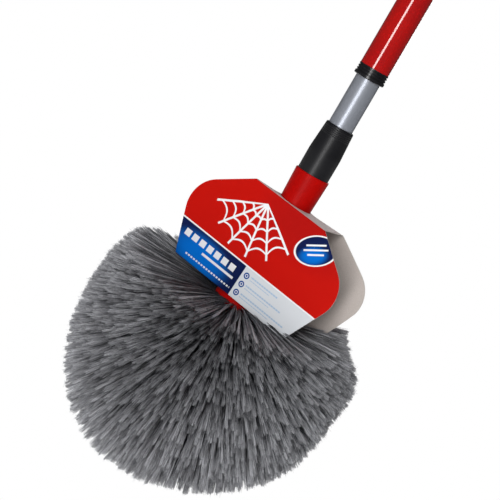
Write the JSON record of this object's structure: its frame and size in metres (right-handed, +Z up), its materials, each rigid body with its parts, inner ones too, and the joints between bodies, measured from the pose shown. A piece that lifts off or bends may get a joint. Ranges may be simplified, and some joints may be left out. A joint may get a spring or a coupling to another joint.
{
  "type": "cobweb brush",
  "caption": "Telescopic cobweb brush: a ball of grey flagged bristles on a screw-off red block, with a twist-lock pole and a folded card sleeve over the block.",
  "frame": {"origin": "centre of the hanging hole in the end cap", "axes": "+Z up the pole with the brush at its lower end, +Y along the hanging hole's axis and away from the front of the card"},
  "size_m": [0.2391, 0.238, 1.1001],
  "materials": {
    "red_paint": "gloss",
    "silver_paint": "satin",
    "black_plastic": "satin",
    "red_plastic": "gloss",
    "white_plastic": "matte",
    "grey_plastic": "matte",
    "zinc": "satin",
    "bristle": "satin",
    "printed_card": "gloss"
  },
  "bodies": {
    "outer_pole": {"outer_tube": "red_paint", "collar": "black_plastic", "end_cap": "black_plastic"},
    "lock": {"expander_sleeve": "white_plastic"},
    "cone": {"cone_nut": "grey_plastic"},
    "inner_pole": {"inner_tube": "silver_paint", "lock_plug": "grey_plastic", "lock_stud": "zinc", "stop_washer": "zinc", "stop_nut": "zinc", "pole_tip": "black_plastic"},
    "head": {"brush_block": "red_plastic", "tuft_staples": "zinc", "tuft_roots": "bristle", "tuft_ring_0": "bristle", "tuft_ring_1": "bristle", "tuft_ring_2": "bristle", "tuft_ring_3": "bristle", "tuft_ring_4": "bristle", "tuft_ring_5": "bristle", "tuft_ring_6": "bristle", "card_sleeve": "printed_card"}
  },
  "joints": [
    {"name": "extend", "type": "slide", "parent": "outer_pole", "child": "lock", "axis": [0, 0, -1], "range_m": [-0.043, 0.53]},
    {"name": "twist_lock", "type": "hinge", "parent": "lock", "child": "inner_pole", "pos_m": [0, 0, -0.13], "axis": [0, 0, -1], "range_deg": [0, 540]},
    {"name": "cone_travel", "type": "slide", "parent": "lock", "child": "cone", "axis": [0, 0, 1], "range_m": [0, 0.00226]},
    {"name": "head_off", "type": "slide", "parent": "inner_pole", "child": "head", "axis": [0, 0, -1], "range_m": [0, 0.035]}
  ],
  "couplings": [
    {"joint": "cone_travel", "follows": "twist_lock", "m_per_rad": 0.00023873}
  ]
}
